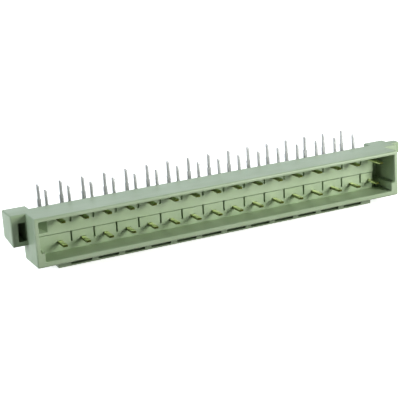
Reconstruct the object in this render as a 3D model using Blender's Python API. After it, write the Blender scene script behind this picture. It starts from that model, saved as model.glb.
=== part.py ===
# Right-angle backplane connector, male half, two rows of flat contacts.
# X runs along the connector, Y from the mating face to the tails, Z up.
# The origin is under the middle of the object, on the surface it stands on.

import bmesh
import bpy
from math import radians
from mathutils import Matrix

MM = 0.001

# Contact grid, set off towards the right end
PITCH = 5.08
COLUMNS = 16
ROW_RISE = 5.08
GRID_OFFSET = 1.27

# Shroud, measured from the mating face and from its lower edge
END_SPACE = 0.84
END_WALL = 0.95
ROOF_SPACE = 1.42
TOP_WALL = 0.85
FLOOR_SPACE = 1.9
FLOOR_WALL = 1.15
CAVITY_DEPTH = 5.3
WALL_THICKNESS = 3.2
BACK_DRAFT = 0.6

# Polarising ledges in the two lower corners of the cavity
LEDGE_WIDTH = 0.9
LEDGE_TOP = 3.1

# Face of the cavity's back wall
BAND_STEP = 0.25
BAND_SPLIT = 5.05
GROOVE_WIDTH = 0.3
LOWER_GROOVE_DEPTH = 0.8
LOWER_GROOVE_BOTTOM = 2.75
UPPER_GROOVE_LENGTH = 2.45
KEY_RECESS_DEPTH = 1.2
KEY_RECESS_BOTTOM = 5.65
END_RECESS_SIDE = 0.78
END_RECESS_DEPTH = 2.4

# Mounting ears
EAR_REACH = 3.2
EAR_OVERLAP = 2.0
EAR_FRONT = 5.1
EAR_SETBACK = 2.5
EAR_BOTTOM_FRONT = 3.65
EAR_BOTTOM_BACK = 4.6
POCKET_WALL = 1.4
POCKET_INSET = 0.1
POCKET_BOTTOM = 4.65
POCKET_ROOF = 1.75
POCKET_DEPTH = 4.6

# Small lug on the outer end of the right ear
LUG_REACH = 2.1
LUG_FRONT = 7.0
LUG_BACK = 9.1
LUG_THICKNESS = 2.6

# Rail under the body, with a row of core pockets in its front
RAIL_INSET = 5.4
RAIL_FRONT = 3.3
RAIL_HEIGHT = 1.9
RAIL_FLOOR = 0.35
RAIL_END = 2.06
CORE_COUNT = 12
CORE_RIB = 1.44
CORE_DEPTH = 3.0

# Contacts
BLADE_WIDTH = 1.0
CONTACT_THICKNESS = 0.5
SHOULDER_WIDTH = 0.85
TAIL_WIDTH = 0.5
BLADE_TIP = 1.8
LEADING_TIP = 0.2
TIP_CHAMFER = 0.12
TAIL_SETBACK = 3.3
TAIL_ROW_SPACING = 5.08
BEND_RADIUS = 1.0
BEND_STEPS = 4
SHOULDER_DROP = 0.9
SHOULDER_TAPER = 0.2
TAIL_RISE = 2.35
TAIL_POINT = 0.6
TAIL_POINT_WIDTH = 0.2
SLOT_CLEARANCE = 0.05

# Places that follow from the sizes above
LOWER_ROW_HEIGHT = FLOOR_WALL + FLOOR_SPACE
UPPER_ROW_HEIGHT = LOWER_ROW_HEIGHT + ROW_RISE
CAVITY_TOP = UPPER_ROW_HEIGHT + ROOF_SPACE
SHROUD_HEIGHT = CAVITY_TOP + TOP_WALL
UPPER_GROOVE_BOTTOM = CAVITY_TOP - UPPER_GROOVE_LENGTH
HALF_CAVITY = COLUMNS * PITCH / 2 + GRID_OFFSET + END_SPACE
HALF_SHROUD = HALF_CAVITY + END_WALL
WALL_FACE = CAVITY_DEPTH
UPPER_WALL_FACE = CAVITY_DEPTH - BAND_STEP
BODY_DEPTH = CAVITY_DEPTH + WALL_THICKNESS
EAR_OUTER = HALF_SHROUD + EAR_REACH
EAR_INNER = HALF_SHROUD - EAR_OVERLAP
EAR_BACK = BODY_DEPTH + EAR_SETBACK
POCKET_OUTER = EAR_OUTER - POCKET_WALL
POCKET_TOP = SHROUD_HEIGHT - POCKET_ROOF
HALF_RAIL = HALF_SHROUD - RAIL_INSET
RAIL_BACK = BODY_DEPTH - BACK_DRAFT
CORE_PITCH = 2 * (HALF_RAIL - RAIL_END) / CORE_COUNT
FRONT_TAIL_ROW = BODY_DEPTH + TAIL_SETBACK
BACK_TAIL_ROW = FRONT_TAIL_ROW + TAIL_ROW_SPACING
LOWER_SHOULDER = SHROUD_HEIGHT - SHOULDER_DROP
TAIL_TIP = SHROUD_HEIGHT + TAIL_RISE
TOTAL_DEPTH = BACK_TAIL_ROW + CONTACT_THICKNESS / 2
OVERCUT = 1.0


def clear_scene():
    for item in list(bpy.data.objects):
        bpy.data.objects.remove(item, do_unlink=True)


def place(x, y, z):
    """Turn a point measured from the mating face and the shroud's lower edge into metres."""
    return ((x - LUG_REACH / 2) * MM, (y - TOTAL_DEPTH / 2) * MM, (z + RAIL_HEIGHT) * MM)


def column_x(column):
    return GRID_OFFSET + (column - (COLUMNS - 1) / 2) * PITCH


def make_material(name, colour, roughness, metallic):
    material = bpy.data.materials.new(name)
    material.use_nodes = True
    shader = material.node_tree.nodes["Principled BSDF"]
    shader.inputs["Base Color"].default_value = (*colour, 1.0)
    shader.inputs["Roughness"].default_value = roughness
    shader.inputs["Metallic"].default_value = metallic
    material.diffuse_color = (*colour, 1.0)
    return material


def add_box(bm, low, high):
    """Add a box between two corners given in part measurements."""
    start = place(*low)
    end = place(*high)
    size = [b - a for a, b in zip(start, end)]
    middle = [(a + b) / 2 for a, b in zip(start, end)]
    matrix = Matrix.Translation(middle) @ Matrix.Diagonal((*size, 1.0))
    return bmesh.ops.create_cube(bm, size=1.0, matrix=matrix)["verts"]


def add_mirrored_boxes(bm, low, high):
    """Add a box and its mirror image about the connector's middle."""
    first = add_box(bm, low, high)
    second = add_box(bm, (-high[0], low[1], low[2]), (-low[0], high[1], high[2]))
    return first + second


def finish_mesh(bm, name):
    bmesh.ops.recalc_face_normals(bm, faces=bm.faces)
    mesh = bpy.data.meshes.new(name)
    bm.to_mesh(mesh)
    bm.free()
    shape = bpy.data.objects.new(name, mesh)
    bpy.context.scene.collection.objects.link(shape)
    return shape


def add_boolean(target, cutter, operation):
    modifier = target.modifiers.new(cutter.name, "BOOLEAN")
    modifier.operation = operation
    modifier.solver = "EXACT"
    modifier.object = cutter
    cutter.hide_render = True
    cutter.display_type = "WIRE"


def make_body_block():
    """The shroud's block, whose back leans forward towards the bottom."""
    bm = bmesh.new()
    verts = add_box(bm, (-HALF_SHROUD, 0, 0), (HALF_SHROUD, BODY_DEPTH, SHROUD_HEIGHT))
    middle = place(0, BODY_DEPTH / 2, SHROUD_HEIGHT / 2)
    lower_back = [v for v in verts if v.co.y > middle[1] and v.co.z < middle[2]]
    bmesh.ops.translate(bm, verts=lower_back, vec=(0, -BACK_DRAFT * MM, 0))
    return finish_mesh(bm, "housing")


def make_ears():
    """Two ear blocks whose undersides slope up towards the back."""
    bm = bmesh.new()
    low = (EAR_INNER, EAR_FRONT, EAR_BOTTOM_FRONT)
    verts = add_mirrored_boxes(bm, low, (EAR_OUTER, EAR_BACK, SHROUD_HEIGHT))
    back = place(0, (EAR_FRONT + EAR_BACK) / 2, 0)[1]
    middle = place(0, 0, (EAR_BOTTOM_BACK + SHROUD_HEIGHT) / 2)[2]
    lower_back = [v for v in verts if v.co.y > back and v.co.z < middle]
    rise = (EAR_BOTTOM_BACK - EAR_BOTTOM_FRONT) * MM
    bmesh.ops.translate(bm, verts=lower_back, vec=(0, 0, rise))
    return finish_mesh(bm, "ear_blocks")


def make_lug():
    bm = bmesh.new()
    low = (EAR_OUTER - OVERCUT, LUG_FRONT, SHROUD_HEIGHT - LUG_THICKNESS)
    add_box(bm, low, (EAR_OUTER + LUG_REACH, LUG_BACK, SHROUD_HEIGHT))
    return finish_mesh(bm, "ear_lug")


def make_rail():
    bm = bmesh.new()
    low = (-HALF_RAIL, RAIL_FRONT, -RAIL_HEIGHT)
    add_box(bm, low, (HALF_RAIL, RAIL_BACK, OVERCUT / 2))
    return finish_mesh(bm, "rail_block")


def make_cavity_cutter():
    """The mating space, with its back wall stepped between the two bands."""
    bm = bmesh.new()
    low = (-HALF_CAVITY, -OVERCUT, FLOOR_WALL)
    add_box(bm, low, (HALF_CAVITY, UPPER_WALL_FACE, CAVITY_TOP))
    return finish_mesh(bm, "cavity_cutter")


def make_lower_band_cutter():
    bm = bmesh.new()
    low = (-HALF_CAVITY, OVERCUT, FLOOR_WALL)
    add_box(bm, low, (HALF_CAVITY, WALL_FACE, BAND_SPLIT))
    return finish_mesh(bm, "lower_band_cutter")


def make_key_recess_cutter():
    """The deeper corner of the upper band, left of the first column."""
    bm = bmesh.new()
    low = (-HALF_CAVITY, OVERCUT, KEY_RECESS_BOTTOM)
    right = column_x(0) - PITCH / 2
    add_box(bm, low, (right, UPPER_WALL_FACE + KEY_RECESS_DEPTH, CAVITY_TOP))
    return finish_mesh(bm, "key_recess_cutter")


def make_end_recess_cutter():
    """The deep corner of the cavity, right of the last column."""
    bm = bmesh.new()
    low = (column_x(COLUMNS - 1) + END_RECESS_SIDE, OVERCUT, FLOOR_WALL)
    add_box(bm, low, (HALF_CAVITY, UPPER_WALL_FACE + END_RECESS_DEPTH, CAVITY_TOP))
    return finish_mesh(bm, "end_recess_cutter")


def make_ledges():
    bm = bmesh.new()
    low = (HALF_CAVITY - LEDGE_WIDTH, 0, FLOOR_WALL / 2)
    high = (HALF_CAVITY + END_WALL / 2, WALL_FACE + OVERCUT, LEDGE_TOP)
    add_mirrored_boxes(bm, low, high)
    return finish_mesh(bm, "corner_ledges")


def make_groove_cutter():
    """Thin joints between the columns on both bands of the back wall."""
    bm = bmesh.new()
    half = GROOVE_WIDTH / 2
    for column in range(COLUMNS - 1):
        x = column_x(column) + PITCH / 2
        low = (x - half, OVERCUT, LOWER_GROOVE_BOTTOM)
        add_box(bm, low, (x + half, WALL_FACE + LOWER_GROOVE_DEPTH, BAND_SPLIT))
        low = (x - half, OVERCUT, UPPER_GROOVE_BOTTOM)
        add_box(bm, low, (x + half, WALL_FACE, CAVITY_TOP))
    return finish_mesh(bm, "groove_cutter")


def make_slot_cutter():
    """Through slots that carry the contacts."""
    bm = bmesh.new()
    half_width = BLADE_WIDTH / 2 + SLOT_CLEARANCE
    half_height = CONTACT_THICKNESS / 2 + SLOT_CLEARANCE
    for column in range(COLUMNS):
        x = column_x(column)
        for z in (LOWER_ROW_HEIGHT, UPPER_ROW_HEIGHT):
            low = (x - half_width, OVERCUT, z - half_height)
            add_box(bm, low, (x + half_width, BODY_DEPTH + OVERCUT, z + half_height))
    return finish_mesh(bm, "slot_cutter")


def make_pocket_cutter():
    """Deep pocket in each ear's front, just outside the shroud's end."""
    bm = bmesh.new()
    low = (HALF_SHROUD + POCKET_INSET, EAR_FRONT - OVERCUT, POCKET_BOTTOM)
    add_mirrored_boxes(bm, low, (POCKET_OUTER, EAR_FRONT + POCKET_DEPTH, POCKET_TOP))
    return finish_mesh(bm, "pocket_cutter")


def make_core_cutter():
    bm = bmesh.new()
    half = (CORE_PITCH - CORE_RIB) / 2
    for core in range(CORE_COUNT):
        x = (core - (CORE_COUNT - 1) / 2) * CORE_PITCH
        low = (x - half, RAIL_FRONT - OVERCUT, RAIL_FLOOR - RAIL_HEIGHT)
        add_box(bm, low, (x + half, RAIL_FRONT + CORE_DEPTH, 0))
    return finish_mesh(bm, "core_cutter")


def make_housing(material):
    """One moulding: shroud, back wall, ears, lug and rail."""
    housing = make_body_block()
    add_boolean(housing, make_ears(), "UNION")
    add_boolean(housing, make_lug(), "UNION")
    add_boolean(housing, make_rail(), "UNION")
    add_boolean(housing, make_cavity_cutter(), "DIFFERENCE")
    add_boolean(housing, make_lower_band_cutter(), "DIFFERENCE")
    add_boolean(housing, make_key_recess_cutter(), "DIFFERENCE")
    add_boolean(housing, make_end_recess_cutter(), "DIFFERENCE")
    add_boolean(housing, make_ledges(), "UNION")
    add_boolean(housing, make_groove_cutter(), "DIFFERENCE")
    add_boolean(housing, make_slot_cutter(), "DIFFERENCE")
    add_boolean(housing, make_pocket_cutter(), "DIFFERENCE")
    add_boolean(housing, make_core_cutter(), "DIFFERENCE")
    housing.data.materials.append(material)
    return housing


def extrude_end(bm, face, move):
    """Extrude one end face and return the new end face."""
    made = bmesh.ops.extrude_face_region(bm, geom=[face])["geom"]
    bmesh.ops.delete(bm, geom=[face], context="FACES_ONLY")
    verts = [item for item in made if isinstance(item, bmesh.types.BMVert)]
    bmesh.ops.translate(bm, verts=verts, vec=[part * MM for part in move])
    return next(item for item in made if isinstance(item, bmesh.types.BMFace))


def scale_end(bm, face, middle, factors):
    """Scale an end face about a point given in metres."""
    space = Matrix.Translation([-part for part in middle])
    bmesh.ops.scale(bm, verts=face.verts, vec=factors, space=space)


def bend_end(bm, face, centre):
    """Turn the contact from running back to standing up."""
    made = bmesh.ops.spin(
        bm,
        geom=[face],
        cent=centre,
        axis=(1, 0, 0),
        angle=radians(90),
        steps=BEND_STEPS,
        use_duplicate=False,
    )["geom_last"]
    if face.is_valid:
        bmesh.ops.delete(bm, geom=[face], context="FACES_ONLY")
    return next(item for item in made if isinstance(item, bmesh.types.BMFace))


def make_blade_tip(bm, tip, row_height):
    """Start a contact with its chamfered front end, on the connector's middle plane."""
    width = BLADE_WIDTH - 2 * TIP_CHAMFER
    height = CONTACT_THICKNESS - 2 * TIP_CHAMFER
    middle = place(0, tip, row_height)
    turn = Matrix.Rotation(radians(90), 4, "X")
    size = Matrix.Diagonal((width * MM, height * MM, 1.0, 1.0))
    matrix = Matrix.Translation(middle) @ turn @ size
    made = bmesh.ops.create_grid(bm, x_segments=1, y_segments=1, size=0.5, matrix=matrix)
    first = made["verts"][0].link_faces[0]
    copy = bmesh.ops.duplicate(bm, geom=[first])["geom"]
    face = next(item for item in copy if isinstance(item, bmesh.types.BMFace))
    face = extrude_end(bm, face, (0, TIP_CHAMFER, 0))
    factors = (BLADE_WIDTH / width, 1.0, CONTACT_THICKNESS / height)
    scale_end(bm, face, middle, factors)
    return face


def narrow_end(bm, face, width, old_width):
    """Taper the contact to a smaller width over a short rise."""
    face = extrude_end(bm, face, (0, 0, SHOULDER_TAPER))
    scale_end(bm, face, place(0, 0, 0), (width / old_width, 1.0, 1.0))
    return face


def make_contact_mesh(name, tip, row_height, tail_row, shoulder=None):
    """A flat blade that runs back through the wall and turns up into a tail."""
    bm = bmesh.new()
    face = make_blade_tip(bm, tip, row_height)
    straight = tail_row - BEND_RADIUS - tip - TIP_CHAMFER
    face = extrude_end(bm, face, (0, straight, 0))
    centre = place(0, tail_row - BEND_RADIUS, row_height + BEND_RADIUS)
    face = bend_end(bm, face, centre)
    height = row_height + BEND_RADIUS
    width = BLADE_WIDTH
    if shoulder:
        face = narrow_end(bm, face, SHOULDER_WIDTH, width)
        face = extrude_end(bm, face, (0, 0, shoulder - height - SHOULDER_TAPER))
        height = shoulder
        width = SHOULDER_WIDTH
    face = narrow_end(bm, face, TAIL_WIDTH, width)
    tail = TAIL_TIP - TAIL_POINT - height - SHOULDER_TAPER
    face = extrude_end(bm, face, (0, 0, tail))
    face = extrude_end(bm, face, (0, 0, TAIL_POINT))
    scale_end(bm, face, place(-TAIL_WIDTH / 2, 0, 0), (TAIL_POINT_WIDTH / TAIL_WIDTH, 1.0, 1.0))
    bmesh.ops.remove_doubles(bm, verts=bm.verts, dist=0.01 * MM)
    bmesh.ops.recalc_face_normals(bm, faces=bm.faces)
    mesh = bpy.data.meshes.new(name)
    bm.to_mesh(mesh)
    bm.free()
    return mesh


def add_contact(name, column, mesh):
    contact = bpy.data.objects.new(name, mesh)
    contact.location = (column_x(column) * MM, 0, 0)
    bpy.context.scene.collection.objects.link(contact)


def add_contacts(material):
    """One object for each contact; the last upper blade reaches furthest forward."""
    upper = make_contact_mesh("upper", BLADE_TIP, UPPER_ROW_HEIGHT, FRONT_TAIL_ROW)
    leading = make_contact_mesh("leading", LEADING_TIP, UPPER_ROW_HEIGHT, FRONT_TAIL_ROW)
    lower = make_contact_mesh(
        "lower", BLADE_TIP, LOWER_ROW_HEIGHT, BACK_TAIL_ROW, LOWER_SHOULDER)
    for mesh in (upper, leading, lower):
        mesh.materials.append(material)
    for column in range(COLUMNS):
        last = column == COLUMNS - 1
        add_contact(f"upper_contact_{column + 1:02d}", column, leading if last else upper)
        add_contact(f"lower_contact_{column + 1:02d}", column, lower)


def main():
    clear_scene()
    plastic = make_material("pale_green_plastic", (0.42, 0.50, 0.38), 0.55, 0.0)
    gold = make_material("gold_plate", (0.62, 0.56, 0.26), 0.3, 1.0)
    make_housing(plastic)
    add_contacts(gold)


main()
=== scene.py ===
import math

import bmesh
import bpy
from mathutils import Matrix, Vector


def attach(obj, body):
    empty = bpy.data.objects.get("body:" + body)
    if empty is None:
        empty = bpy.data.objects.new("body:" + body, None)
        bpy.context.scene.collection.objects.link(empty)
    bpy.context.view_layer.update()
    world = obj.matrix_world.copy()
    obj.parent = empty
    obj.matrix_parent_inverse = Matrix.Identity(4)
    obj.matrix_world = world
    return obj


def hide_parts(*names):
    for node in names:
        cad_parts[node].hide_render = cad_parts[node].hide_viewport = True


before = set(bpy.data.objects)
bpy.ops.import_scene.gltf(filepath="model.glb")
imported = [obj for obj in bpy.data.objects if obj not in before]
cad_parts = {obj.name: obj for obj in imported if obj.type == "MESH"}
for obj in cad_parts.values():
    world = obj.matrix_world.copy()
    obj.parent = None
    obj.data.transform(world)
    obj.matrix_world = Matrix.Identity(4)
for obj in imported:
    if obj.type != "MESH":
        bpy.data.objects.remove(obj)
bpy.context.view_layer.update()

mm = 0.001

# Sizes are in millimetres: x runs along the connector, y back from the mating face
# and z up from the shroud's lower edge
zero = {"x": -1.05, "y": -8.565, "z": 1.9}
overlap = 1.0  # how far a shape runs into or past what it joins or cuts
near = 0.01  # slack in telling one corner's place from the next
flat = 0.001  # slack in finding the faces of one plane


def place(x, y, z):
    return Vector(((x + zero["x"]) * mm, (y + zero["y"]) * mm, (z + zero["z"]) * mm))


grid = {"columns": 16, "pitch": 5.08, "offset": 1.27, "lowerRow": 3.05, "upperRow": 8.13}


def columnX(column):
    return grid["offset"] + (column - (grid["columns"] - 1) / 2) * grid["pitch"]


# Modelling helpers

def addBlock(bm, low, high):
    start, end = place(*low), place(*high)
    scale = Matrix.Diagonal((*(end - start), 1.0))
    matrix = Matrix.Translation((start + end) / 2) @ scale
    return bmesh.ops.create_cube(bm, size=1.0, matrix=matrix)["verts"]


def facesAt(bm, axis, value, test=None):
    # flat faces that lie at one place along an axis
    spot = place(value, value, value)[axis]
    return [face for face in bm.faces if all(abs(v.co[axis] - spot) < flat * mm for v in face.verts)
            and (test is None or test((face.calc_center_median() - place(0, 0, 0)) / mm))]


def pushFaces(bm, faces, move):
    made = bmesh.ops.extrude_face_region(bm, geom=faces)["geom"]
    bmesh.ops.delete(bm, geom=[face for face in faces if face.is_valid], context="FACES_ONLY")
    verts = [item for item in made if isinstance(item, bmesh.types.BMVert)]
    bmesh.ops.translate(bm, verts=verts, vec=Vector(move) * mm)
    return [item for item in made if isinstance(item, bmesh.types.BMFace)]


def sliceAt(bm, axis, value):
    normal = Vector((0, 0, 0))
    normal[axis] = 1
    bmesh.ops.bisect_plane(bm, geom=bm.verts[:] + bm.edges[:] + bm.faces[:], dist=1e-7,
                           plane_co=place(value, value, value), plane_no=normal)


def roundEdges(bm, edges, radius, segments=3):
    bmesh.ops.bevel(bm, geom=list(edges), offset=radius * mm, offset_type="OFFSET", affect="EDGES",
                    segments=segments, profile=0.5, material=-1, clamp_overlap=True)


def edgesAlong(bm, axis):
    found = []
    for edge in bm.edges:
        run = edge.verts[1].co - edge.verts[0].co
        if abs(run[axis]) > 0.9 * run.length:
            found.append(edge)
    return found


def roundedBlock(low, high, radius, axis=None, segments=3):
    bm = bmesh.new()
    addBlock(bm, low, high)
    edges = bm.edges if axis is None else edgesAlong(bm, axis)
    roundEdges(bm, edges, radius, segments)
    return bm


def toObject(name, bm):
    bmesh.ops.recalc_face_normals(bm, faces=bm.faces)
    mesh = bpy.data.meshes.new(name)
    bm.to_mesh(mesh)
    bm.free()
    made = bpy.data.objects.new(name, mesh)
    bpy.context.scene.collection.objects.link(made)
    return made


def joinShape(target, bm, operation):
    # the tool shape is used once and then removed
    tool = toObject("tool", bm)
    step = target.modifiers.new("step", "BOOLEAN")
    step.operation, step.solver, step.object = operation, "EXACT", tool
    graph = bpy.context.evaluated_depsgraph_get()
    mesh = bpy.data.meshes.new_from_object(target.evaluated_get(graph), depsgraph=graph)
    target.modifiers.remove(step)
    old, target.data = target.data, mesh
    bpy.data.meshes.remove(old)
    bpy.data.objects.remove(tool, do_unlink=True)


def addTo(target, bm):
    joinShape(target, bm, "UNION")


def cutFrom(target, bm):
    joinShape(target, bm, "DIFFERENCE")


def smoothByAngle(piece, degrees):
    piece.data.shade_smooth()
    piece.data.set_sharp_from_angle(angle=math.radians(degrees))


# Shader maths: one value in a material, with the operators that the finishes use

class Field:
    def __init__(self, paint, socket):
        self.paint, self.socket = paint, socket

    def math(self, operation, first, second):
        return self.paint.node("ShaderNodeMath", {"operation": operation}, {0: first, 1: second})

    def __add__(self, other):
        return self.math("ADD", self, other)

    def __sub__(self, other):
        return self.math("SUBTRACT", self, other)

    def __rsub__(self, other):
        return self.math("SUBTRACT", other, self)

    def __mul__(self, other):
        return self.math("MULTIPLY", self, other)

    __radd__ = __add__
    __rmul__ = __mul__

    def ramp(self, start, end):
        # 0 below start, 1 above end, smooth between
        settings = {"interpolation_type": "SMOOTHSTEP"}
        values = {"Value": self, "From Min": start, "From Max": end}
        return self.paint.node("ShaderNodeMapRange", settings, values)


class Paint:
    def __init__(self, name, fixed):
        self.material = bpy.data.materials.new(name)
        self.material.use_nodes = True
        self.tree = self.material.node_tree
        self.shader = self.tree.nodes["Principled BSDF"]
        for socket, value in fixed.items():
            self.shader.inputs[socket].default_value = value
        self.coords = self.node("ShaderNodeTexCoord", out="Object")
        self.y = self.node("ShaderNodeSeparateXYZ", None, {0: self.coords}, 1)

    def node(self, kind, settings=None, values=None, out=0):
        made = self.tree.nodes.new(kind)
        for key, value in (settings or {}).items():
            setattr(made, key, value)
        for key, value in (values or {}).items():
            self.feed(made.inputs[key], value)
        return Field(self, made.outputs[out])

    def feed(self, socket, value):
        if isinstance(value, Field):
            self.tree.links.new(value.socket, socket)
        else:
            socket.default_value = value

    def noise(self, perMetre, stretch=(1, 1, 1), detail=2.0):
        scaled = self.node("ShaderNodeMapping", None, {"Vector": self.coords, "Scale": stretch})
        values = {"Vector": scaled, "Scale": perMetre, "Detail": detail, "Roughness": 0.5}
        return self.node("ShaderNodeTexNoise", None, values)

    def mix(self, factor, first, second):
        return self.node("ShaderNodeMix", {"data_type": "RGBA"}, {0: factor, 6: first, 7: second}, 2)

    def bump(self, height, distance):
        values = {"Height": height, "Distance": distance * mm, "Strength": 1.0}
        return self.node("ShaderNodeBump", None, values)

    def finish(self, **inputs):
        for name, value in inputs.items():
            self.feed(self.shader.inputs[name.replace("_", " ")], value)
        return self.material


# Pale green moulded plastic

plastic = {
    "light": (0.455, 0.545, 0.40, 1), "deep": (0.405, 0.50, 0.345, 1),
    "blotchPerMetre": 90, "blotchStretch": (1, 2, 2), "flowPerMetre": 500, "flowStretch": (0.25, 1, 1),
    "grainPerMetre": 7000, "main": 0.7, "rest": 0.3, "mottle": (0.3, 0.7),
    "roughness": 0.38, "blotchRough": 0.12, "grainRough": 0.1, "grainDepth": 0.006,
}


def paintPlastic():
    paint = Paint("mouldedPlastic", {"IOR": 1.5, "Metallic": 0.0})
    main, rest = plastic["main"], plastic["rest"]
    blotch = paint.noise(plastic["blotchPerMetre"], plastic["blotchStretch"], 3.0)
    flow = paint.noise(plastic["flowPerMetre"], plastic["flowStretch"], 2.0)
    grain = paint.noise(plastic["grainPerMetre"], detail=1.0)
    mottle = (blotch * main + flow * rest).ramp(*plastic["mottle"])
    colour = paint.mix(mottle, plastic["light"], plastic["deep"])
    rough = (plastic["roughness"] + (blotch - 0.5) * plastic["blotchRough"]
             + (grain - 0.5) * plastic["grainRough"])
    normal = paint.bump(grain * main + flow * rest, plastic["grainDepth"])
    return paint.finish(Base_Color=colour, Roughness=rough, Normal=normal)


# Contact metal: gold on the blade, dull tin on the tail, and a near-black painted shade on the cut tips and
# blade sides

contactMetal = {
    # the cut tone is near black: partly bare cut metal, but mostly painted shade standing in for the dark
    # reflections on tips and sides
    "gold": (0.94, 0.98, 0.68, 1), "goldDull": (0.88, 0.91, 0.56, 1), "cutShade": (0.07, 0.08, 0.02, 1),
    "tin": (0.55, 0.56, 0.56, 1), "tinDull": (0.47, 0.48, 0.48, 1),
    "goldEnd": 6.5, "tinStart": 8.5, "drift": 0.4, "cloudPerMetre": 900, "cloudRamp": (0.35, 0.7),
    "streakPerMetre": 6000, "streakStretch": (1, 0.06, 0.06), "scratchDepth": 0.002,
    "goldRough": 0.12, "tinRougher": 0.43, "cutRougher": 0.3, "streakRough": 0.1, "cloudRough": 0.06,
}


def paintContacts():
    paint = Paint("platedContact", {"Metallic": 1.0})
    streak = paint.noise(contactMetal["streakPerMetre"], contactMetal["streakStretch"])
    cloud = paint.noise(contactMetal["cloudPerMetre"])
    dull = cloud.ramp(*contactMetal["cloudRamp"])
    gold = paint.mix(dull, contactMetal["gold"], contactMetal["goldDull"])
    tin = paint.mix(dull, contactMetal["tin"], contactMetal["tinDull"])
    start = (contactMetal["goldEnd"] + zero["y"]) * mm
    end = (contactMetal["tinStart"] + zero["y"]) * mm
    tinned = (paint.y + (cloud - 0.5) * contactMetal["drift"] * mm).ramp(start, end)
    # painted shade: the cut tips and the blade sides are mixed towards the near-black cut tone
    bareAndShade = paint.node("ShaderNodeAttribute", {"attribute_name": "cutEndShade"}, out=2) * (1 - tinned)
    colour = paint.mix(bareAndShade, paint.mix(tinned, gold, tin), contactMetal["cutShade"])
    rough = (contactMetal["goldRough"] + tinned * contactMetal["tinRougher"]
             + bareAndShade * contactMetal["cutRougher"] + (streak - 0.5) * contactMetal["streakRough"]
             + (cloud - 0.5) * contactMetal["cloudRough"])
    scratches = paint.bump(streak, contactMetal["scratchDepth"])
    return paint.finish(Base_Color=colour, Roughness=rough, Normal=scratches)


# Housing: one moulding

body = {
    "half": 43.7, "height": 10.4, "depth": 8.5, "draft": 0.6, "edge": 0.38, "merge": 0.002, "smoothAngle": 32,
}
cavity = {
    "half": 42.75, "floor": 1.15, "roof": 9.55, "upperWall": 5.05, "lowerWall": 5.3, "split": 5.05,
    "corner": 0.25, "seam": 0.2, "seamDepth": 0.35, "roofLip": 2.0,
    # each step of the lip has a depth and how much wider the mouth is there
    "lip": ((0.25, 0.0), (0.11, 0.03), (0.03, 0.11), (-0.3, 0.4)),
}
ledge = {
    "width": 0.9, "top": 3.1, "cutFront": 0.8, "cutDepth": 0.35, "cutHeight": 0.3, "cutRise": 1.1,
    "cutGap": 0.02, "cutBack": 0.08, "cutStart": 0.2, "cutLap": 0.3, "cutMouth": 0.12,
}
keyRecess = {"right": -39.37, "depth": 1.2, "low": 5.65, "slant": 1.65, "rise": 0.9}
endRecess = {"left": 40.15, "back": 7.45, "gap": 0.03, "lap": 0.5}
groove = {
    "half": 0.18, "front": 4, "depth": 0.8, "low": 2.75, "rise": 0.06,
    "notchHalf": 0.36, "notchLow": 7.1, "notchDepth": 0.4, "notchLap": 0.05,
}
slot = {"halfWidth": 0.55, "halfHeight": 0.28, "lap": 0.15, "flare": 0.0399, "mouthDepth": 0.45}
ear = {
    "outer": 46.9, "inner": 41.7, "front": 5.1, "back": 11.0, "frontLow": 3.65, "backLow": 4.6, "edge": 0.32,
}
pocket = {"inner": 43.8, "outer": 45.5, "low": 4.65, "top": 8.65, "depth": 4.6, "corner": 0.12}
lug = {"reach": 2.1, "front": 7.0, "back": 9.1, "thickness": 2.6, "edge": 0.25}
rail = {"half": 38.3, "front": 3.3, "back": 7.9, "height": 1.9, "top": 0.6, "edge": 0.18}
core = {"count": 12, "pitch": 6.04, "half": 2.3, "depth": 3.0, "floor": 0.35, "gap": 0.04, "corner": 0.15}


def blockAt(side, low, high):
    # the same block on the right end, or its mirror image on the left
    if side > 0:
        return low, high
    return (-high[0], low[1], low[2]), (-low[0], high[1], high[2])


def bodyBlock():
    bm = bmesh.new()
    addBlock(bm, (-body["half"], 0, 0), (body["half"], body["depth"], body["height"]))
    middle = place(0, body["depth"] / 2, body["height"] / 2)
    lowBack = [v for v in bm.verts if v.co.y > middle.y and v.co.z < middle.z]
    bmesh.ops.translate(bm, verts=lowBack, vec=(0, -body["draft"] * mm, 0))
    roundEdges(bm, bm.edges, body["edge"], 4)
    return bm


def earBlock(side):
    bm = bmesh.new()
    low = (ear["inner"], ear["front"], ear["frontLow"])
    addBlock(bm, *blockAt(side, low, (ear["outer"], ear["back"], body["height"])))
    middle = place(0, (ear["front"] + ear["back"]) / 2, (ear["frontLow"] + body["height"]) / 2)
    lowBack = [v for v in bm.verts if v.co.y > middle.y and v.co.z < middle.z]
    bmesh.ops.translate(bm, verts=lowBack, vec=(0, 0, (ear["backLow"] - ear["frontLow"]) * mm))
    roundEdges(bm, bm.edges, ear["edge"])
    return bm


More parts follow.
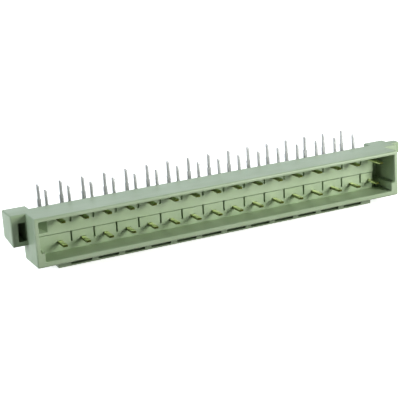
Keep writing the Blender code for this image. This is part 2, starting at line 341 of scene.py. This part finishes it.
def cavityShape():
    # the mating space between the corner ledges, flared at the mouth so that the lip comes out rounded
    bm = bmesh.new()
    lip, wall = cavity["lip"], cavity["upperWall"]
    inner = cavity["half"] - ledge["width"]
    addBlock(bm, (-inner, lip[0][0], cavity["floor"]), (inner, wall, cavity["roof"]))
    sliceAt(bm, 2, ledge["top"])
    for side in (-1, 1):
        aboveLedge = facesAt(bm, 0, side * inner, lambda c: c.z > ledge["top"])
        pushFaces(bm, aboveLedge, (side * ledge["width"], 0, 0))
    for depth in (lip[0][0], wall):
        bmesh.ops.dissolve_faces(bm, faces=facesAt(bm, 1, depth))
    roundEdges(bm, edgesAlong(bm, 1), cavity["corner"], 2)
    front = facesAt(bm, 1, lip[0][0])
    centre = place(0, 0, (cavity["floor"] + cavity["roof"]) / 2)
    reached, grown = lip[0]
    for depth, growth in lip[1:]:
        front = pushFaces(bm, front, (0, depth - reached, 0))
        for vert in {vert for face in front for vert in face.verts}:
            rise = cavity["roofLip"] if vert.co.z > centre.z else 1.0
            vert.co.x += math.copysign((growth - grown) * mm, vert.co.x - centre.x)
            vert.co.z += math.copysign((growth - grown) * rise * mm, vert.co.z - centre.z)
        reached, grown = depth, growth
    for height in (cavity["split"] - cavity["seam"], cavity["split"], keyRecess["low"]):
        sliceAt(bm, 2, height)
    sliceAt(bm, 0, keyRecess["right"])
    # the recess at the upper left has a sloped side and a sloped bottom
    corner = facesAt(bm, 1, wall, lambda c: c.z > keyRecess["low"] and c.x < keyRecess["right"])
    sunk = pushFaces(bm, corner, (0, keyRecess["depth"], 0))
    for vert in {vert for face in sunk for vert in face.verts}:
        if vert.co.x > place(keyRecess["right"] - near, 0, 0).x:
            vert.co.x -= keyRecess["slant"] * mm
        if vert.co.z < place(0, 0, keyRecess["low"] + near).z:
            vert.co.z += keyRecess["rise"] * mm
    lowerBand = facesAt(bm, 1, wall, lambda c: c.z < cavity["split"])
    pushFaces(bm, lowerBand, (0, cavity["lowerWall"] - wall, 0))
    seam = facesAt(bm, 1, cavity["lowerWall"], lambda c: c.z > cavity["split"] - cavity["seam"])
    pushFaces(bm, seam, (0, cavity["seamDepth"], 0))
    return bm


def ledgeShapes():
    # undercuts above and beside each corner ledge, the lower one opening towards the wall
    bm = bmesh.new()
    inner = cavity["half"] - ledge["width"]
    front, back = ledge["cutFront"], cavity["lowerWall"] - ledge["cutBack"]
    for side in (-1, 1):
        low = (inner + ledge["cutStart"], front, ledge["top"] + ledge["cutGap"])
        high = (cavity["half"] + ledge["cutDepth"], back, ledge["top"] + ledge["cutHeight"])
        addBlock(bm, *blockAt(side, low, high))
        low = (inner - ledge["cutLap"], front, cavity["floor"] + ledge["cutGap"])
        high = (inner + ledge["cutDepth"], back, cavity["floor"] + ledge["cutRise"])
        mouth = place(0, (front + back) / 2, low[2] + ledge["cutMouth"])
        for vert in addBlock(bm, *blockAt(side, low, high)):
            if vert.co.y < mouth.y and vert.co.z > mouth.z:
                vert.co.z = mouth.z
    return bm


def endRecessShape():
    # the deep corner right of the last column; the ledge runs on into it
    bm = bmesh.new()
    gap, inner = endRecess["gap"], cavity["half"] - ledge["width"]
    addBlock(bm, (endRecess["left"], cavity["upperWall"] - endRecess["lap"], cavity["floor"] + gap),
             (inner - gap, endRecess["back"], cavity["roof"] - gap))
    sliceAt(bm, 2, ledge["top"] + gap)
    aboveLedge = facesAt(bm, 0, inner - gap, lambda c: c.z > ledge["top"])
    pushFaces(bm, aboveLedge, (ledge["width"], 0, 0))
    return bm


def grooveShapes():
    # narrow joints in the lower band and notches under the roof
    bm = bmesh.new()
    half, lap = groove["half"], groove["notchLap"]
    for column in range(grid["columns"] - 1):
        x = columnX(column) + grid["pitch"] / 2
        addBlock(bm, (x - half, groove["front"], groove["low"]),
                 (x + half, cavity["lowerWall"] + groove["depth"], cavity["split"] + groove["rise"]))
        verts = addBlock(bm, (x - half, cavity["upperWall"] - lap, groove["notchLow"]),
                         (x + half, cavity["upperWall"] + groove["notchDepth"], cavity["roof"] + lap))
        middle = place(x, 0, (groove["notchLow"] + cavity["roof"]) / 2)
        for vert in verts:
            if vert.co.z > middle.z:
                vert.co.x += math.copysign((groove["notchHalf"] - half) * mm, vert.co.x - middle.x)
    return bm


def slotShapes():
    # each contact's slot, with a small funnel at the wall
    bm = bmesh.new()
    wide, high, flare = slot["halfWidth"], slot["halfHeight"], slot["flare"] * mm
    for column in range(grid["columns"]):
        x = columnX(column)
        for z, wall in ((grid["lowerRow"], cavity["lowerWall"]), (grid["upperRow"], cavity["upperWall"])):
            deep, middle = wall + slot["mouthDepth"], place(x, wall, z)
            verts = addBlock(bm, (x - wide, wall - slot["lap"], z - high), (x + wide, deep, z + high))
            for vert in verts:
                if vert.co.y < middle.y:
                    vert.co.x += math.copysign(flare, vert.co.x - middle.x)
                    vert.co.z += math.copysign(flare, vert.co.z - middle.z)
            back = max((f for v in verts for f in v.link_faces), key=lambda face: face.calc_center_median().y)
            pushFaces(bm, [back], (0, body["depth"] + overlap - deep, 0))
    return bm


def coreShapes():
    bm = bmesh.new()
    for number in range(core["count"]):
        x = (number - (core["count"] - 1) / 2) * core["pitch"]
        addBlock(bm, (x - core["half"], rail["front"] - overlap, core["floor"] - rail["height"]),
                 (x + core["half"], rail["front"] + core["depth"], -core["gap"]))
    roundEdges(bm, edgesAlong(bm, 1), core["corner"], 2)
    return bm


def makeHousing(material):
    housing = toObject("housingShell", bodyBlock())
    for side in (-1, 1):
        addTo(housing, earBlock(side))
    addTo(housing, roundedBlock((ear["outer"] - overlap, lug["front"], body["height"] - lug["thickness"]),
                                (ear["outer"] + lug["reach"], lug["back"], body["height"]), lug["edge"]))
    addTo(housing, roundedBlock((-rail["half"], rail["front"], -rail["height"]),
                                (rail["half"], rail["back"], rail["top"]), rail["edge"]))
    cutFrom(housing, cavityShape())
    cutFrom(housing, ledgeShapes())
    cutFrom(housing, endRecessShape())
    cutFrom(housing, grooveShapes())
    cutFrom(housing, slotShapes())
    for side in (-1, 1):
        low = (pocket["inner"], ear["front"] - overlap, pocket["low"])
        high = (pocket["outer"], ear["front"] + pocket["depth"], pocket["top"])
        cutFrom(housing, roundedBlock(*blockAt(side, low, high), pocket["corner"], 1, 2))
    cutFrom(housing, coreShapes())
    bm = bmesh.new()
    bm.from_mesh(housing.data)
    bmesh.ops.remove_doubles(bm, verts=bm.verts, dist=body["merge"] * mm)
    bmesh.ops.recalc_face_normals(bm, faces=bm.faces)
    bm.to_mesh(housing.data)
    bm.free()
    housing.data.materials.clear()
    housing.data.materials.append(material)
    smoothByAngle(housing, body["smoothAngle"])
    weight = housing.modifiers.new("flatFaces", "WEIGHTED_NORMAL")
    weight.keep_sharp = True
    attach(housing, "root")
    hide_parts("housing")
    print("housing made:", len(housing.data.polygons), "faces")


# Contacts: a flat blade that runs back through the wall and turns up into a tail

contact = {
    "bladeWidth": 1.0, "thickness": 0.5, "shoulderWidth": 0.85, "tailWidth": 0.6, "bend": 1.0, "bendSteps": 8,
    "tipLength": 0.3, "tipWidth": 0.78, "tipThickness": 0.26, "taper": 0.2, "top": 12.75, "point": 0.35,
    "pointWidth": 0.36, "edge": 0.07, "lastSideShade": 0.15, "cutReach": 0.05, "merge": 0.005,
    "sharpAngle": 40, "smoothAngle": 50,
}
# side is how much painted shade the blades' sides get, from gold at 0 to the near-black cut tone at 1; it
# stands in for the dark reflections and shadow on the sides and is set per row
rows = {
    "upper": {"height": grid["upperRow"], "tail": 11.8, "tip": 1.8, "shoulder": None, "side": 0.7},
    "lower": {"height": grid["lowerRow"], "tail": 16.88, "tip": 1.8, "shoulder": 9.5, "side": 0.6},
}
leadingTip = 0.2  # the last upper blade reaches furthest forward


def extrudeEnd(bm, face, move):
    return pushFaces(bm, [face], move)[0]


def scaleEnd(bm, face, middle, factors):
    bmesh.ops.scale(bm, verts=face.verts, vec=factors, space=Matrix.Translation(-middle))


def makeContact(name, node, column, row, tip, material):
    x, z = columnX(column), row["height"]
    bm = bmesh.new()
    middle = place(x, tip, z)
    size = Matrix.Diagonal((contact["tipWidth"] * mm, contact["tipThickness"] * mm, 1.0, 1.0))
    matrix = Matrix.Translation(middle) @ Matrix.Rotation(math.radians(90), 4, "X") @ size
    bmesh.ops.create_grid(bm, x_segments=1, y_segments=1, size=0.5, matrix=matrix)
    first = bm.faces[:][0]
    copy = bmesh.ops.duplicate(bm, geom=[first])["geom"]
    face = next(item for item in copy if isinstance(item, bmesh.types.BMFace))
    face = extrudeEnd(bm, face, (0, contact["tipLength"], 0))
    scaleEnd(bm, face, middle, (contact["bladeWidth"] / contact["tipWidth"], 1.0,
                                contact["thickness"] / contact["tipThickness"]))
    face = extrudeEnd(bm, face, (0, row["tail"] - contact["bend"] - tip - contact["tipLength"], 0))
    centre = place(x, row["tail"] - contact["bend"], z + contact["bend"])
    turned = bmesh.ops.spin(bm, geom=[face], cent=centre, axis=(1, 0, 0), angle=math.radians(90),
                            steps=contact["bendSteps"], use_duplicate=False)["geom_last"]
    if face.is_valid:
        bmesh.ops.delete(bm, geom=[face], context="FACES_ONLY")
    face = next(item for item in turned if isinstance(item, bmesh.types.BMFace))
    height, width = z + contact["bend"], contact["bladeWidth"]
    middle = place(x, 0, 0)
    if row["shoulder"]:
        face = extrudeEnd(bm, face, (0, 0, contact["taper"]))
        scaleEnd(bm, face, middle, (contact["shoulderWidth"] / width, 1.0, 1.0))
        face = extrudeEnd(bm, face, (0, 0, row["shoulder"] - height - contact["taper"]))
        height, width = row["shoulder"], contact["shoulderWidth"]
    face = extrudeEnd(bm, face, (0, 0, contact["taper"]))
    scaleEnd(bm, face, middle, (contact["tailWidth"] / width, 1.0, 1.0))
    face = extrudeEnd(bm, face, (0, 0, contact["top"] - contact["point"] - height - contact["taper"]))
    face = extrudeEnd(bm, face, (0, 0, contact["point"]))
    leftSide = place(x - contact["tailWidth"] / 2, 0, 0)
    scaleEnd(bm, face, leftSide, (contact["pointWidth"] / contact["tailWidth"], 1.0, 1.0))
    bmesh.ops.remove_doubles(bm, verts=bm.verts, dist=contact["merge"] * mm)
    bmesh.ops.recalc_face_normals(bm, faces=bm.faces)
    # mask for the near-black tone: 1 on the cut tip, plus the row's painted-shade amount on the blade sides
    bareAndShade = bm.verts.layers.float.new("cutEndShade")
    for vert in bm.verts:
        if vert.co.y < place(0, tip + contact["cutReach"], 0).y:
            vert[bareAndShade] = 1.0
    sharp = [edge for edge in bm.edges if edge.calc_face_angle(0) > math.radians(contact["sharpAngle"])]
    roundEdges(bm, sharp, contact["edge"], 2)
    # painted shade on the blade sides; the last column's sides get only a little of it and stay nearly gold
    sideShade = row["side"] if column < grid["columns"] - 1 else contact["lastSideShade"]
    for vert in {vert for face in bm.faces if abs(face.normal.x) > 0.9 for vert in face.verts}:
        vert[bareAndShade] = max(vert[bareAndShade], sideShade)
    piece = toObject(name, bm)
    piece.data.materials.append(material)
    smoothByAngle(piece, contact["smoothAngle"])
    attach(piece, "root")
    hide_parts(node)


def makeContacts(material):
    for column in range(grid["columns"]):
        for side in ("upper", "lower"):
            last = side == "upper" and column == grid["columns"] - 1
            tip = leadingTip if last else rows[side]["tip"]
            number = f"{column + 1:02d}"
            makeContact(f"{side}Blade{number}", f"{side}_contact_{number}", column, rows[side], tip, material)
    print("contacts made:", grid["columns"] * 2)


# Floor, lights and camera

stage = {
    "floorSize": 6.0, "floor": (0.95, 0.95, 0.95, 1), "floorRough": 0.9, "glow": 0.5, "world": 0.05,
    "aim": (0, 4, 5), "look": "High Contrast",
}
# level is the light that reaches a surface facing the lamp, where 1 makes a white one just white
lamps = {
    "keyLamp": {
        "toward": (0.76, -1.0, 0.41), "distance": 0.33, "size": (0.15, 0.17), "level": 0.65,
        "colour": (1, 1, 0.97),
    },
    "topLamp": {
        "toward": (0.3, 0.15, 1.0), "distance": 0.8, "size": (0.6, 0.6), "level": 0.12,
        "colour": (0.92, 0.97, 1),
    },
    "backLamp": {
        "toward": (0.25, 1.0, 0.4), "distance": 0.9, "size": (0.9, 0.9), "level": 0.27,
        "colour": (0.90, 0.97, 1),
    },
    "leftLamp": {
        "toward": (-1.0, 0.1, 0.3), "distance": 0.8, "size": (0.6, 0.6), "level": 0.60,
        "colour": (0.88, 0.92, 1),
    },
}
# the camera looks at the place x, 0, z; the angles are in degrees
view = {
    "azimuth": -25.475, "elevation": 16.249, "roll": -3.403, "distance": 250.61, "x": -6.96, "z": 7.869,
    "lens": 106.788, "sensor": 36.0, "clip": 0.01,
}


def makeFloor():
    bm = bmesh.new()
    bmesh.ops.create_grid(bm, x_segments=1, y_segments=1, size=stage["floorSize"] / 2)
    floor = toObject("floorSheet", bm)
    paint = Paint("paleFloor", {"Roughness": stage["floorRough"], "Base Color": stage["floor"],
                                "Emission Color": stage["floor"], "Emission Strength": stage["glow"]})
    floor.data.materials.append(paint.material)
    floor.visible_diffuse = False  # the table bounce below gives the sheet's light instead


def makeLamp(name, target):
    choice = lamps[name]
    lamp = bpy.data.lights.new(name, "AREA")
    lamp.shape, lamp.color = "ELLIPSE", choice["colour"]
    lamp.size, lamp.size_y = choice["size"]
    lamp.energy = choice["level"] * (math.pi * choice["distance"]) ** 2
    holder = bpy.data.objects.new(name, lamp)
    toward = Vector(choice["toward"]).normalized()
    holder.location = target + toward * choice["distance"]
    holder.rotation_euler = toward.to_track_quat("Z", "Y").to_euler()
    bpy.context.scene.collection.objects.link(holder)


# the light that the pale table in front throws back up at the part
bounce = {"wide": 2.0, "deep": 1.0, "gap": 0.012, "height": 0.0008, "level": 0.25, "colour": (1, 1, 1)}


def makeBounce(target):
    lamp = bpy.data.lights.new("tableBounce", "AREA")
    lamp.shape, lamp.color = "RECTANGLE", bounce["colour"]
    lamp.size, lamp.size_y = bounce["wide"], bounce["deep"]
    lamp.energy = bounce["level"] * math.pi * bounce["wide"] * bounce["deep"]
    holder = bpy.data.objects.new("tableBounce", lamp)
    holder.location = (target.x, -bounce["gap"] - bounce["deep"] / 2, bounce["height"])
    holder.rotation_euler = (math.pi, 0, 0)
    holder.visible_camera = False
    bpy.context.scene.collection.objects.link(holder)


def makeWorld():
    world = bpy.data.worlds.new("softRoom")
    world.use_nodes = True
    world.node_tree.nodes["Background"].inputs["Color"].default_value = (1, 1, 1, 1)
    world.node_tree.nodes["Background"].inputs["Strength"].default_value = stage["world"]
    bpy.context.scene.world = world


def makeCamera():
    lens = bpy.data.cameras.new("photoCamera")
    lens.lens, lens.sensor_width, lens.clip_start = view["lens"], view["sensor"], view["clip"]
    camera = bpy.data.objects.new("photoCamera", lens)
    bpy.context.scene.collection.objects.link(camera)
    bpy.context.scene.camera = camera
    azimuth, elevation, roll = (math.radians(view[key]) for key in ("azimuth", "elevation", "roll"))
    back = Vector((math.sin(azimuth) * math.cos(elevation), -math.cos(azimuth) * math.cos(elevation),
                   math.sin(elevation)))
    right = (-back).cross(Vector((0, 0, 1))).normalized()
    up = right.cross(-back)
    tilted = (math.cos(roll) * right + math.sin(roll) * up,
              math.cos(roll) * up - math.sin(roll) * right, back)
    matrix = Matrix(tilted).transposed().to_4x4()
    matrix.translation = place(view["x"], 0, view["z"]) + back * view["distance"] * mm
    camera.matrix_world = matrix


makeHousing(paintPlastic())
makeContacts(paintContacts())
makeFloor()
makeWorld()
aim = place(*stage["aim"])
for name in lamps:
    makeLamp(name, aim)
makeBounce(aim)
makeCamera()
bpy.context.scene.view_settings.view_transform = "Standard"
bpy.context.scene.view_settings.look = stage["look"]
print("stage and camera set")
